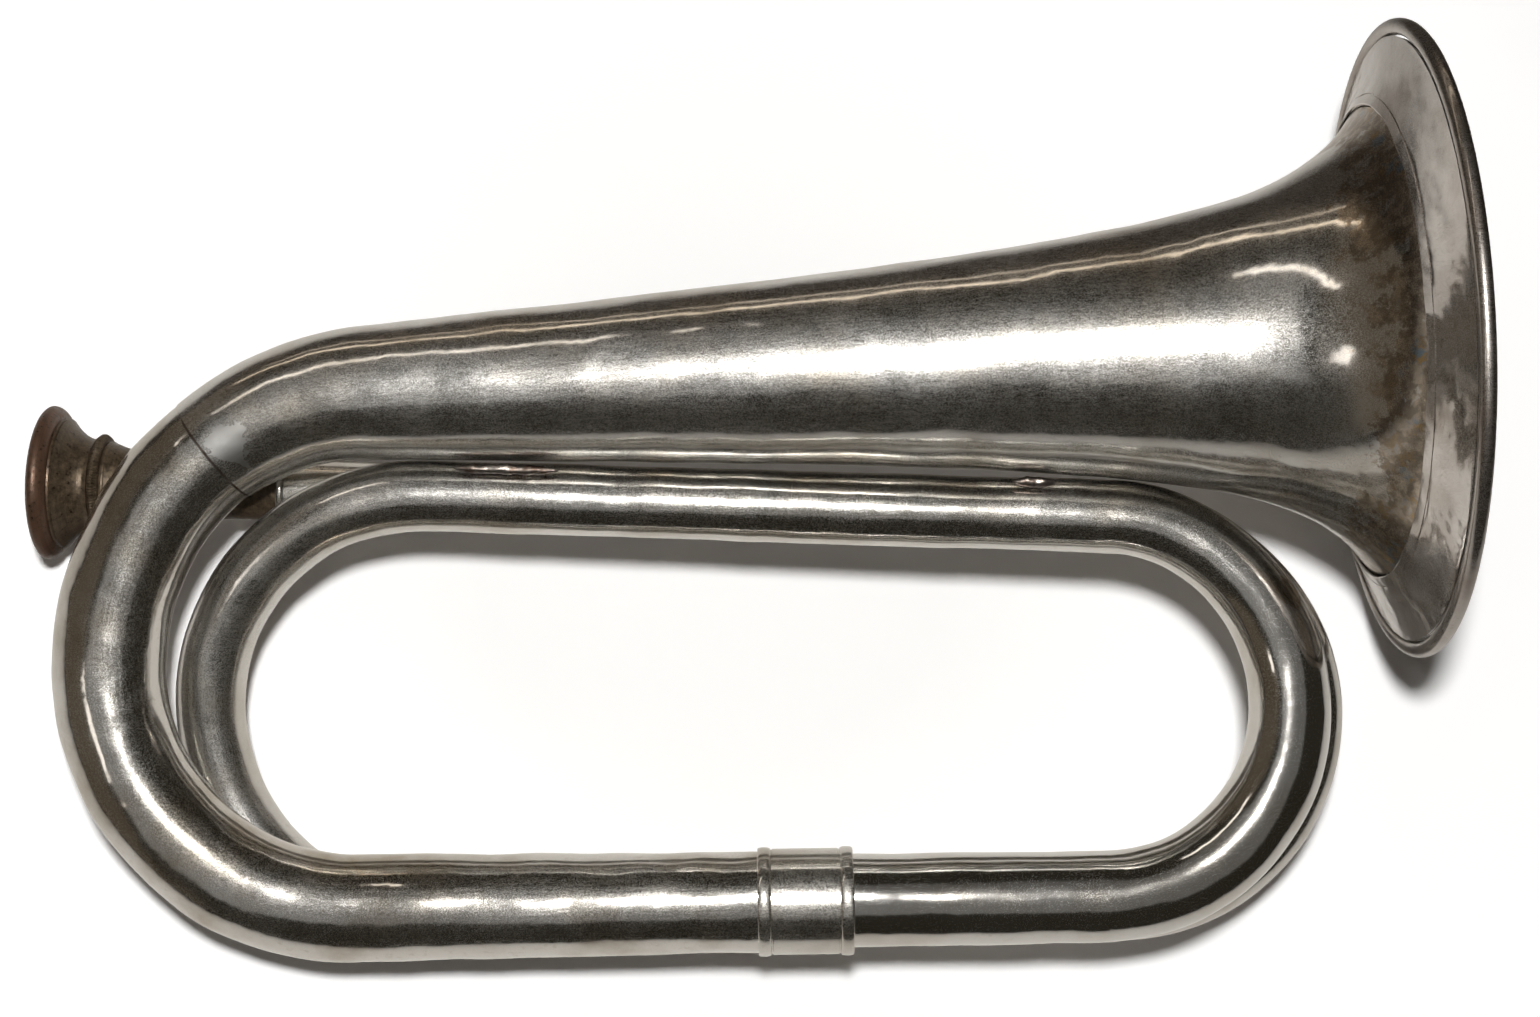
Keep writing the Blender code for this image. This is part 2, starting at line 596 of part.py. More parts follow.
top_run = (top_start, top_end, TOP_TUBE_SMALL_RADIUS, TOP_TUBE_LARGE_RADIUS)
branch_run = (ferrule_middle, branch_end, BRANCH_SMALL_RADIUS, BRANCH_LARGE_RADIUS)
bottom_run = (bottom_start, ferrule_middle, BOTTOM_TUBE_SMALL_RADIUS, BOTTOM_TUBE_LARGE_RADIUS)
rear_run = (rear_start, rear_end, REAR_RUN_SMALL_RADIUS, REAR_RUN_LARGE_RADIUS)
pipe_run = (mouthpipe_start, mouthpipe_end, MOUTHPIPE_SMALL_RADIUS, MOUTHPIPE_LARGE_RADIUS)
out_of_coil = Vector((0.0, 0.0, 1.0))
into_loop = Vector((0.0, 1.0, 0.0))

# Solder along the touching tubes: the bell to the top run, and the rear coil to the front one
top_direction = (top_end - top_start).normalized()
for name, place_x, length in (
    ("bell_solder_near", top_start.x + BELL_SOLDER_NEAR_SETBACK, BELL_SOLDER_NEAR_LENGTH),
    ("bell_solder_far", top_end.x - BELL_SOLDER_FAR_SETBACK, BELL_SOLDER_FAR_LENGTH),
):
    along = (place_x - stem_start.x) / bell_axis.x
    bell_spot = (stem_start + bell_axis * along, bell_radius(along + length / 2))
    solder_bead(name, run_spot(top_run, place_x), bell_spot, top_direction, out_of_coil, length)

rear_direction = (rear_end - rear_start).normalized()
for name, front_run, place_x in (
    ("rear_solder_left", branch_run, rear_end.x + REAR_SOLDER_SETBACK),
    ("rear_solder_right", bottom_run, bottom_start.x - REAR_SOLDER_SETBACK),
):
    solder_bead(name, run_spot(front_run, place_x), run_spot(rear_run, place_x), rear_direction, into_loop,
                REAR_SOLDER_LENGTH)
pipe_x = top_end.x - MOUTHPIPE_SOLDER_SETBACK
solder_bead("mouthpipe_solder", run_spot(top_run, pipe_x), run_spot(pipe_run, pipe_x), top_direction,
            -into_loop, MOUTHPIPE_SOLDER_LENGTH)

# Rest the coil on the ground at the bell rim, the mouthpiece rim and the rear tubing
rim_centre = receiver_face - mouthpipe_axis * rim_middle


def ring_foot_point(centre, axis, radius, bead, up):
    down = -up
    out = (down - axis * down.dot(axis)).normalized()
    return centre + out * radius + down * bead


def tube_foot_point(up):
    spots = [(rear_end, REAR_RUN_LARGE_RADIUS), (rear_start, REAR_RUN_SMALL_RADIUS)]
    for i in range(BOW_SEGMENTS):
        angle = mix(rear_heading, top_heading, INNER_BOW_CLIMB_START * i / BOW_SEGMENTS)
        place = inner_centre - right_of(angle) * inner_radius
        place.z = rear_end.z
        spots.append((place, REAR_RUN_LARGE_RADIUS))
    return min((place - up * radius for place, radius in spots), key=up.dot)


up = Vector((0.0, 0.0, 1.0))
for i in range(REST_PASSES):
    feet = (
        ring_foot_point(bell_mouth, bell_axis, BELL_MOUTH_RADIUS, RIM_WIRE_RADIUS, up),
        ring_foot_point(rim_centre, mouthpipe_axis, RIM_RADIUS, 0.0, up),
        tube_foot_point(up),
    )
    up = (feet[1] - feet[0]).cross(feet[2] - feet[0]).normalized()
    if up.z < 0.0:
        up.negate()
root.rotation_mode = "QUATERNION"
root.rotation_quaternion = up.rotation_difference(Vector((0.0, 0.0, 1.0)))

# Put the origin under the middle of the finished instrument, on the ground
bpy.context.view_layer.update()
depsgraph = bpy.context.evaluated_depsgraph_get()
low = Vector((math.inf, math.inf, math.inf))
high = -low
for part in bugle.objects:
    if part.type == "EMPTY":
        continue
    evaluated = part.evaluated_get(depsgraph)
    mesh = evaluated.to_mesh()
    for vertex in mesh.vertices:
        place = evaluated.matrix_world @ vertex.co
        low = Vector(map(min, low, place))
        high = Vector(map(max, high, place))
    evaluated.to_mesh_clear()
root.location = Vector((-(low.x + high.x) / 2, -(low.y + high.y) / 2, -low.z))
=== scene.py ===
import math

import bpy
from mathutils import Matrix, Quaternion, Vector


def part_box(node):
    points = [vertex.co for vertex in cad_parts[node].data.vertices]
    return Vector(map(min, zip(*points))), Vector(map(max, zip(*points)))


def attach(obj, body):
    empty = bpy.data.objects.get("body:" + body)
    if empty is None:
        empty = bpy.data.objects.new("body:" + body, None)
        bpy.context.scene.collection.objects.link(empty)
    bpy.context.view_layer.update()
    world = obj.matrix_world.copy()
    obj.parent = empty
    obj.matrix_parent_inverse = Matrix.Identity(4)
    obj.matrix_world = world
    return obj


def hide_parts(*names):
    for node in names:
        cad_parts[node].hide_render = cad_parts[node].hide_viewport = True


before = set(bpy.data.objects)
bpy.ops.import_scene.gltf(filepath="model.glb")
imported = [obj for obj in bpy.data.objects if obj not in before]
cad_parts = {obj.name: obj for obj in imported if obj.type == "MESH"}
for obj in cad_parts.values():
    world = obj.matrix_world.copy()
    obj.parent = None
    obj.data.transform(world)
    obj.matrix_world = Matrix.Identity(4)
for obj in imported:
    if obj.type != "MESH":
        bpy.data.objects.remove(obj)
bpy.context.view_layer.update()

# Bell: one sheet of silver-plated brass, rolled to a cone, seamed, and spun to its flare on a
# mandrel. Its stem is bent into the first part of the bow and ends there at a soldered seam.
coil_place = Vector((-0.067687, 0.019007, 0.042205))
coil_turn = Quaternion((0.995229, 0.088515, -0.041044, 0.0))
coil = Matrix.LocRotScale(coil_place, coil_turn, None)
bell_length = 0.1958
bell_stem_radius = 0.0128
bell_cone_growth = 0.0088
bell_flare_length = 0.0108
bell_mouth_radius = 0.0586
bell_wall = 0.0007
bell_heading = math.radians(2.9)
seam_heading = math.radians(37.9)
seam_stem_radius = 0.0110
upper_bow_centre = Vector((0.002631, -0.051933, 0.0))
upper_bow_radius = 0.0520
bell_sheet_end = 0.19526
bell_sides = 96
bell_sheet_step = 0.0016
bell_stem_steps = 22
bell_dent_depth = 0.00045
bell_flare_size = (bell_mouth_radius - bell_stem_radius - bell_cone_growth) / (
    1.0 / bell_flare_length - 1.0 / (bell_length + bell_flare_length))


def between(first, last, share):
    return first + (last - first) * share


def heading_vector(heading):
    return Vector((math.cos(heading), math.sin(heading), 0.0))


def right_of(heading):
    return Vector((math.sin(heading), -math.cos(heading), 0.0))


def bow_spots(centre, bow_radius, headings, depths, tube_radii, steps, level_share=0.0):
    """Spots (place, heading, tube radius) along a clockwise bow, which may climb after a level share."""
    spots = []
    for i in range(steps + 1):
        share = i / steps
        heading = between(headings[0], headings[1], share)
        place = centre - right_of(heading) * bow_radius
        climb = max(share - level_share, 0.0) / (1.0 - level_share)
        place.z = between(depths[0], depths[1], (1.0 - math.cos(math.pi * climb)) / 2)
        spots.append((place, heading, between(tube_radii[0], tube_radii[1], share)))
    return spots


def bell_radius(along):
    stem_part = bell_stem_radius - bell_flare_size / (bell_length + bell_flare_length)
    cone_part = bell_cone_growth * along / bell_length
    return stem_part + cone_part + bell_flare_size / (bell_length - along + bell_flare_length)


def bell_rise(along):
    return bell_cone_growth / bell_length + bell_flare_size / (bell_length - along + bell_flare_length) ** 2


def draw_tube(name, spots, sides, start=0.0):
    """Draws a tube out ring by ring along its spots in the coil.

    It notes each ring's place on the straight tube, counted from a start.
    """
    place, heading, radius = spots[0]
    bpy.ops.object.select_all(action="DESELECT")
    bpy.ops.mesh.primitive_circle_add(vertices=sides, radius=radius, location=place,
                                      rotation=(0.0, math.pi / 2, heading))
    piece = bpy.context.active_object
    piece.name = name
    bpy.ops.object.transform_apply()
    bpy.ops.object.mode_set(mode="EDIT")
    rings = [(start, radius)]
    for next_place, next_heading, next_radius in spots[1:]:
        step = next_place - place
        scale = next_radius / radius
        bpy.ops.mesh.extrude_region_move(TRANSFORM_OT_translate={"value": step})
        bpy.ops.transform.rotate(value=heading - next_heading, orient_axis="Z", center_override=next_place)
        bpy.ops.transform.resize(value=(scale, scale, scale), center_override=next_place)
        place, heading, radius = next_place, next_heading, next_radius
        rings.append((rings[-1][0] + step.length, radius))
    bpy.ops.object.mode_set(mode="OBJECT")
    wall = piece.data.polygons[0]
    if wall.normal.dot(wall.center - spots[0][0]) < 0.0:
        bpy.ops.object.mode_set(mode="EDIT")
        bpy.ops.mesh.select_all(action="SELECT")
        bpy.ops.mesh.flip_normals()
        bpy.ops.object.mode_set(mode="OBJECT")
    straight = piece.data.attributes.new("straight", "FLOAT_VECTOR", "POINT")
    for vertex in piece.data.vertices:
        ring, side = divmod(vertex.index, sides)
        along, reach = rings[ring]
        angle = math.tau * side / sides
        straight.data[vertex.index].vector = (along, reach * math.cos(angle), reach * math.sin(angle))
    piece.matrix_world = coil
    bpy.ops.object.transform_apply()
    return piece


def tube_end(piece):
    """How far along the straight tube a drawn piece ends."""
    return max(spot.vector.x for spot in piece.data.attributes["straight"].data)


old_dents = bpy.data.textures.new("old_dents", "CLOUDS")
old_dents.noise_scale = 0.013
old_dents.noise_depth = 1


def dent_and_wall(piece, depth, wall):
    """Leaves the soft dents of long use in a tube, then gives it its wall, inwards."""
    bpy.ops.object.select_all(action="DESELECT")
    piece.select_set(True)
    bpy.context.view_layer.objects.active = piece
    dents = piece.modifiers.new("dents", "DISPLACE")
    dents.texture = old_dents
    dents.texture_coords = "LOCAL"
    dents.strength = depth
    bpy.ops.object.modifier_apply(modifier=dents.name)
    sheet = piece.modifiers.new("sheet", "SOLIDIFY")
    sheet.thickness = wall
    sheet.offset = -1.0
    sheet.material_offset = 1
    bpy.ops.object.modifier_apply(modifier=sheet.name)
    bpy.ops.object.shade_smooth_by_angle(angle=math.radians(40.0))


def shader(tree, kind, inputs, **settings):
    """Adds a shader node, and gives each input a value or another node's output."""
    node = tree.nodes.new("ShaderNode" + kind)
    for name, value in settings.items():
        setattr(node, name, value)
    for name, value in inputs.items():
        if isinstance(value, bpy.types.NodeSocket):
            tree.links.new(value, node.inputs[name])
        else:
            node.inputs[name].default_value = value
    return node


def ramp(tree, value, low, high, start=0.0, end=1.0):
    return shader(tree, "MapRange", {
        "Value": value, "From Min": low, "From Max": high, "To Min": start, "To Max": end,
    }).outputs["Result"]


def noise(tree, vector, scale, detail=3.0, roughness=0.55):
    return shader(tree, "TexNoise", {
        "Vector": vector, "Scale": scale, "Detail": detail, "Roughness": roughness,
    }).outputs["Fac"]


def stretched(tree, vector, scale, turn=(0.0, 0.0, 0.0)):
    return shader(tree, "Mapping", {"Vector": vector, "Scale": scale, "Rotation": turn}).outputs["Vector"]


def colour_mix(tree, factor, first, second, blend="MIX"):
    return shader(tree, "MixRGB", {"Fac": factor, "Color1": first, "Color2": second},
                  blend_type=blend).outputs["Color"]


def calculate(tree, operation, first, second):
    return shader(tree, "Math", {0: first, 1: second}, operation=operation).outputs["Value"]


def multiply_add(tree, value, factor, addend):
    return shader(tree, "Math", {0: value, 1: factor, 2: addend}, operation="MULTIPLY_ADD").outputs["Value"]


def old_silver(name, clean, tarnish, tarnish_share, rub_level, wave_depth):
    """Silver plate: bright polish, hair-fine rubbing above a level, brown tarnish and soft waves."""
    material = bpy.data.materials.new(name)
    material.use_nodes = True
    tree = material.node_tree
    surface = tree.nodes["Principled BSDF"]
    place = shader(tree, "TexCoord", {}).outputs["Object"]
    straight = shader(tree, "Attribute", {}, attribute_name="straight").outputs["Vector"]
    clouding = noise(tree, place, 48.0, 5.0, 0.62)
    mottle = noise(tree, place, 620.0, 4.0, 0.65)
    drawn = noise(tree, stretched(tree, straight, (90.0, 2600.0, 2600.0)), 1.0, 3.0, 0.65)
    crossed = noise(tree, stretched(tree, place, (300.0, 2400.0, 1600.0), (0.0, 0.0, 0.75)), 1.0, 3.0, 0.65)
    tarnish_mask = ramp(tree, clouding, 0.46, 0.74, 0.0, tarnish_share)
    speckle = ramp(tree, mottle, 0.56, 0.80, 0.0, tarnish_share * 0.7)
    brown = calculate(tree, "MAXIMUM", tarnish_mask, speckle)
    tree.links.new(colour_mix(tree, brown, clean, tarnish), surface.inputs["Base Color"])
    surface.inputs["Metallic"].default_value = 1.0
    strokes = calculate(tree, "MAXIMUM", drawn, crossed)
    patches = noise(tree, place, 95.0, 5.0, 0.62)
    hairs = noise(tree, place, 13000.0, 0.0, 0.5)
    hairs = calculate(tree, "ADD", hairs, ramp(tree, patches, 0.3, 0.7, -0.07, 0.07))
    pitting = noise(tree, place, 2300.0, 2.0, 0.6)
    hairs = calculate(tree, "ADD", hairs, ramp(tree, pitting, 0.3, 0.7, -0.03, 0.03))
    rubbing = multiply_add(tree, strokes, 0.34, hairs)
    tree.links.new(ramp(tree, rubbing, rub_level - 0.02, rub_level + 0.12, 0.11, 0.42),
                   surface.inputs["Roughness"])
    waves = noise(tree, place, 150.0, 2.0, 0.5)
    hollow = shader(tree, "Bump", {"Strength": 1.0, "Distance": wave_depth, "Height": waves})
    scored = shader(tree, "Bump", {
        "Strength": 0.5, "Distance": 0.000006, "Height": strokes, "Normal": hollow.outputs["Normal"],
    })
    tree.links.new(scored.outputs["Normal"], surface.inputs["Normal"])
    return material


bell_spots = bow_spots(upper_bow_centre, upper_bow_radius, (seam_heading, bell_heading), (0.0, 0.0),
                       (seam_stem_radius, bell_stem_radius), bell_stem_steps)
along = 0.0
while along < bell_sheet_end:
    along = min(along + bell_sheet_step / math.hypot(1.0, bell_rise(along)), bell_sheet_end)
    bell_spots.append((heading_vector(bell_heading) * along, bell_heading, bell_radius(along)))
bell = draw_tube("bell_sheet", bell_spots, bell_sides)
bell_silver = old_silver("bell_silver", clean=(0.64, 0.625, 0.595, 1.0), tarnish=(0.31, 0.25, 0.17, 1.0),
                         tarnish_share=0.55, rub_level=0.71, wave_depth=0.00010)
tree = bell_silver.node_tree
surface = tree.nodes["Principled BSDF"]
place = shader(tree, "TexCoord", {}).outputs["Object"]
straight = shader(tree, "Attribute", {}, attribute_name="straight").outputs["Vector"]
from_seam = shader(tree, "SeparateXYZ", {"Vector": straight}).outputs["X"]
ragged = noise(tree, place, 170.0, 6.0, 0.7)
spots = noise(tree, place, 420.0, 3.0, 0.6)
ragged_edge = multiply_add(tree, ragged, 0.040, from_seam)
flare_stain = ramp(tree, ragged_edge, 0.2340, 0.2356, 0.0, 0.85)
dark_brown = (0.230, 0.180, 0.130, 1.0)
pale_brown = (0.480, 0.400, 0.310, 1.0)
oil_gold = (0.40, 0.25, 0.08, 1.0)
oil_blue = (0.17, 0.24, 0.30, 1.0)
colours = colour_mix(tree, ramp(tree, spots, 0.44, 0.56), dark_brown, pale_brown)
oil_colours = colour_mix(tree, ramp(tree, spots, 0.47, 0.53), oil_gold, oil_blue)
beside_garland = calculate(tree, "MULTIPLY", ramp(tree, from_seam, 0.2150, 0.2205),
                           ramp(tree, ragged, 0.52, 0.60))
colours = colour_mix(tree, beside_garland, colours, oil_colours)
plain = surface.inputs["Base Color"].links[0].from_socket
stained = colour_mix(tree, flare_stain, plain, colours)
smear_place = coil @ Vector((-0.0248, -0.0103, 0.0105))
from_smear = shader(tree, "VectorMath", {0: place, 1: smear_place}, operation="DISTANCE").outputs["Value"]
smear_edge = multiply_add(tree, ragged, 0.018, from_smear)
smear = ramp(tree, smear_edge, 0.0125, 0.0134, 0.6, 0.0)
smear_grey = (0.46, 0.46, 0.45, 1.0)
tree.links.new(colour_mix(tree, smear, stained, smear_grey), surface.inputs["Base Color"])
rubbed = surface.inputs["Roughness"].links[0].from_socket
dulled = calculate(tree, "MAXIMUM", calculate(tree, "MULTIPLY", flare_stain, 0.20),
                   calculate(tree, "MULTIPLY", smear, 0.55))
flare_polish = calculate(tree, "MULTIPLY", rubbed, ramp(tree, from_seam, 0.17, 0.22, 1.0, 0.85))
tree.links.new(calculate(tree, "MAXIMUM", flare_polish, dulled), surface.inputs["Roughness"])
inside_silver = old_silver("inside_silver", clean=(0.50, 0.45, 0.38, 1.0), tarnish=(0.17, 0.12, 0.075, 1.0),
                           tarnish_share=0.90, rub_level=0.62, wave_depth=0.00006)
bell.data.materials.append(bell_silver)
bell.data.materials.append(inside_silver)
dent_and_wall(bell, bell_dent_depth, bell_wall)
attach(bell, "horn")
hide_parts("bell", "bell_stem")

# Garland: a strip of silver-plated brass lapped round the outside of the bell mouth and soldered,
# with one line cut into it beside its edge. It is paler and more worn than the bell.
garland_edge = 0.18972
garland_gap = 0.0002
garland_wall = 0.0006
garland_line_from_edge = 0.0022
garland_line_depth = 0.0002
garland_edge_bevel = 0.00015
garland_knock_depth = 0.0007
garland_search_step = 0.00001
mouth_sides = 128


def sheet_spot(along, offset):
    """A point of the bell's section moved outwards by an offset: (radius, distance along the axis)."""
    rise = bell_rise(along)
    length = math.hypot(1.0, rise)
    return bell_radius(along) + offset / length, along - offset * rise / length


def turn_on_lathe(name, foot, axis, outline, sides):
    """Turns a closed outline of (radius, height) points round an axis of the coil, ring by ring."""
    radius, height = outline[0]
    bpy.ops.object.select_all(action="DESELECT")
    bpy.ops.mesh.primitive_circle_add(vertices=sides, radius=radius, location=foot + axis * height,
                                      rotation=axis.to_track_quat("Z", "Y").to_euler())
    piece = bpy.context.active_object
    piece.name = name
    bpy.ops.object.transform_apply()
    bpy.ops.object.mode_set(mode="EDIT")
    rings = [(radius, height)]
    for next_radius, next_height in outline[1:] + outline[:1]:
        scale = next_radius / radius
        bpy.ops.mesh.extrude_region_move(TRANSFORM_OT_translate={"value": axis * (next_height - height)})
        bpy.ops.transform.resize(value=(scale, scale, scale), center_override=foot + axis * next_height)
        radius, height = next_radius, next_height
        rings.append((radius, height))
    bpy.ops.object.mode_set(mode="OBJECT")
    straight = piece.data.attributes.new("straight", "FLOAT_VECTOR", "POINT")
    for vertex in piece.data.vertices:
        ring, side = divmod(vertex.index, sides)
        reach, along = rings[ring]
        angle = math.tau * side / sides
        straight.data[vertex.index].vector = (along, reach * math.cos(angle), reach * math.sin(angle))
    bpy.ops.object.mode_set(mode="EDIT")
    bpy.ops.mesh.select_all(action="SELECT")
    bpy.ops.mesh.remove_doubles(threshold=0.000001)
    bpy.ops.mesh.normals_make_consistent(inside=False)
    bpy.ops.object.mode_set(mode="OBJECT")
    piece.matrix_world = coil
    bpy.ops.object.transform_apply()
    bpy.ops.object.shade_smooth_by_angle(angle=math.radians(32.0))
    return piece


garland_width = 0.0137
garland_steps = [0.0, garland_edge_bevel, 0.0006]
garland_steps += [garland_line_from_edge + step for step in (-0.00012, -0.00005, 0.00005, 0.00012)]
garland_steps += [between(garland_line_from_edge + 0.0004, garland_width, i / 20) for i in range(21)]


def along_past_edge(distance):
    """Where the bell's sheet lies a given distance past the garland's edge, measured along its section."""
    along = garland_edge
    travelled = 0.0
    while travelled < distance and along < bell_sheet_end:
        along += garland_search_step
        travelled += garland_search_step * math.hypot(1.0, bell_rise(along))
    return along


garland_outer = []
garland_inner = []
for distance in garland_steps:
    lift = garland_gap + garland_wall
    if abs(distance - garland_line_from_edge) < 0.0001:
        lift -= garland_line_depth
    if distance == 0.0:
        lift -= garland_edge_bevel
    garland_outer.append(sheet_spot(along_past_edge(distance), lift))
    garland_inner.append(sheet_spot(along_past_edge(distance), garland_gap))
garland = turn_on_lathe("garland_strip", Vector((0.0, 0.0, 0.0)), heading_vector(bell_heading),
                        garland_outer + garland_inner[::-1], mouth_sides)
garland_dents = bpy.data.textures.new("garland_dents", "CLOUDS")
garland_dents.noise_scale = 0.009
knocks = garland.modifiers.new("knocks", "DISPLACE")
knocks.texture = garland_dents
knocks.texture_coords = "LOCAL"
knocks.mid_level = 0.6
knocks.strength = garland_knock_depth
bpy.ops.object.modifier_apply(modifier=knocks.name)
garland_silver = old_silver("garland_silver", clean=(0.62, 0.59, 0.56, 1.0), tarnish=(0.26, 0.20, 0.15, 1.0),
                            tarnish_share=0.80, rub_level=0.73, wave_depth=0.00024)
garland.data.materials.append(garland_silver)
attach(garland, "horn")
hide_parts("garland")

# Rim: the garland's edge rolled round a brass wire and silver-plated with it, smooth to the touch
# and flattened on its face where the bell is stood down.
rim_wire_radius = 0.0016
rim_land_half_width = 0.0010
rim_land_half_angle = math.asin(rim_land_half_width / rim_wire_radius)
rim_steps = 28
rim_outline = []
for i in range(rim_steps + 1):
    angle = math.pi / 2 - rim_land_half_angle - (math.tau - 2 * rim_land_half_angle) * i / rim_steps
    rim_outline.append((bell_mouth_radius + rim_wire_radius * math.cos(angle),
                        bell_length + rim_wire_radius * math.sin(angle)))
rim = turn_on_lathe("rolled_rim", Vector((0.0, 0.0, 0.0)), heading_vector(bell_heading), rim_outline,
                    mouth_sides)
rim_silver = old_silver("rim_silver", clean=(0.42, 0.39, 0.36, 1.0), tarnish=(0.18, 0.13, 0.10, 1.0),
                        tarnish_share=0.85, rub_level=0.62, wave_depth=0.00005)
rim.data.materials.append(rim_silver)
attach(rim, "horn")
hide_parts("rim_wire")

# Bell bow and bell branch: drawn brass tube, filled, bent by hand round a former and silver-plated.
# The bow slips into the bell's stem at the seam; the branch carries on straight to the ferrule.
seam_tube_radius = 0.0108
bow_left_radius = 0.01056
branch_large_radius = 0.0102
branch_small_radius = 0.0093
lower_bow_centre = Vector((-0.003469, -0.051933, 0.0))
lower_bow_radius = 0.0459
branch_heading = math.radians(180.9)
branch_end = Vector((-0.002748, -0.097828, 0.0))
ferrule_middle = Vector((0.082741, -0.096485, 0.0))
tube_wall = 0.0006
bow_dent_depth = 0.0007
large_tube_sides = 72


def run_spots(start, end, heading, tube_radii, steps):
    """Spots (place, heading, tube radius) along a straight run."""
    spots = []
    for i in range(steps + 1):
        share = i / steps
        spots.append((between(start, end, share), heading, between(tube_radii[0], tube_radii[1], share)))
    return spots


bow_silver = old_silver("bow_silver", clean=(0.62, 0.60, 0.565, 1.0), tarnish=(0.29, 0.23, 0.15, 1.0),
                        tarnish_share=0.85, rub_level=0.77, wave_depth=0.00018)
left_heading = math.radians(90.0)
bell_branch = draw_tube("bell_branch_tube", run_spots(
    ferrule_middle, branch_end, branch_heading, (branch_small_radius, branch_large_radius), 50),
    large_tube_sides)
bell_bow = draw_tube("bell_bow_tube", bow_spots(
    lower_bow_centre, lower_bow_radius, (branch_heading, left_heading), (0.0, 0.0),
    (branch_large_radius, bow_left_radius), 48) + bow_spots(
    upper_bow_centre, upper_bow_radius, (left_heading, seam_heading), (0.0, 0.0),
    (bow_left_radius, seam_tube_radius), 30)[1:], large_tube_sides, tube_end(bell_branch))
for piece, node in ((bell_bow, "bell_bow"), (bell_branch, "bell_branch")):
    dent_and_wall(piece, bow_dent_depth, tube_wall)
    piece.data.materials.append(bow_silver)
    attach(piece, "horn")
    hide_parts(node)

# Front coil: the drawn tube that runs from the ferrule along the bottom, round the right bow and back
# along the bell, then round the left bow to the rear. Each length is bent, fitted and soldered.
bottom_large_radius = 0.0089
bottom_small_radius = 0.0086
top_large_radius = 0.0070
top_small_radius = 0.0068
rear_large_radius = 0.0066
rear_small_radius = 0.0063
bottom_start = Vector((0.139449, -0.095594, 0.0))
right_bow_centre = Vector((0.138883, -0.059522, 0.0))
right_bow_radius = 0.036077
top_heading = math.radians(-1.7132)
top_end = Vector((0.139961, -0.023461, -0.0030))
top_start = Vector((0.010329, -0.019584, -0.0030))
inner_bow_centre = Vector((0.009073, -0.061602, 0.0))
inner_bow_radius = 0.042037
rear_heading = math.radians(181.461)
rear_end = Vector((0.010144, -0.103626, -0.0177))
inner_bow_level_share = 0.22
coil_dent_depth = 0.0005
small_tube_sides = 56

left_inner_bow = draw_tube("left_inner_bow_tube", bow_spots(
    inner_bow_centre, inner_bow_radius, (rear_heading, top_heading), (rear_end.z, top_start.z),
    (rear_large_radius, top_small_radius), 80, inner_bow_level_share), small_tube_sides)
top_tube = draw_tube("top_tube_run", run_spots(
    top_start, top_end, top_heading, (top_small_radius, top_large_radius), 74),
    small_tube_sides, tube_end(left_inner_bow))
front_right_bow = draw_tube("front_right_bow_tube", bow_spots(
    right_bow_centre, right_bow_radius, (top_heading, branch_heading - math.tau), (top_end.z, bottom_start.z),
    (top_large_radius, bottom_small_radius), 72), small_tube_sides, tube_end(top_tube))
bottom_tube = draw_tube("bottom_tube_run", run_spots(
    bottom_start, ferrule_middle, branch_heading, (bottom_small_radius, bottom_large_radius), 34),
    small_tube_sides, tube_end(front_right_bow))
coil_silver = old_silver("coil_silver", clean=(0.62, 0.605, 0.575, 1.0), tarnish=(0.30, 0.24, 0.16, 1.0),
                         tarnish_share=0.55, rub_level=0.77, wave_depth=0.00014)
tree = coil_silver.node_tree
straight = shader(tree, "Attribute", {}, attribute_name="straight").outputs["Vector"]
from_rear = shader(tree, "SeparateXYZ", {"Vector": straight}).outputs["X"]
handled = calculate(tree, "ADD", ramp(tree, from_rear, 0.09, 0.15, 0.13, -0.01),
                    ramp(tree, from_rear, 0.27, 0.32, 0.0, -0.13))
polish = tree.nodes["Principled BSDF"].inputs["Roughness"].links[0].from_node
rubbing = polish.inputs["Value"].links[0].from_socket
tree.links.new(calculate(tree, "ADD", rubbing, handled), polish.inputs["Value"])
for piece, node in (
    (bottom_tube, "bottom_tube"),
    (front_right_bow, "front_right_bow"),
    (top_tube, "top_tube"),
    (left_inner_bow, "left_inner_bow"),
):
    dent_and_wall(piece, coil_dent_depth, tube_wall)
    piece.data.materials.append(coil_silver)
    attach(piece, "horn")
    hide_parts(node)

# Rear coil and mouthpipe: narrower drawn tube that runs behind the front coil, out along the bottom,
# round the right and back along the top to the receiver.
rear_start = Vector((0.145064, -0.100185, -0.015501))
rear_bow_centre = Vector((0.144103, -0.062499, 0.0))
rear_bow_radius = 0.037698
mouthpipe_heading = math.radians(-2.1592)
mouthpipe_end = Vector((0.145523, -0.024828, -0.016346))
mouthpipe_start = Vector((0.003091, -0.019458, -0.018027))
mouthpipe_large_radius = 0.0061
mouthpipe_small_radius = 0.0055
rear_dent_depth = 0.00025

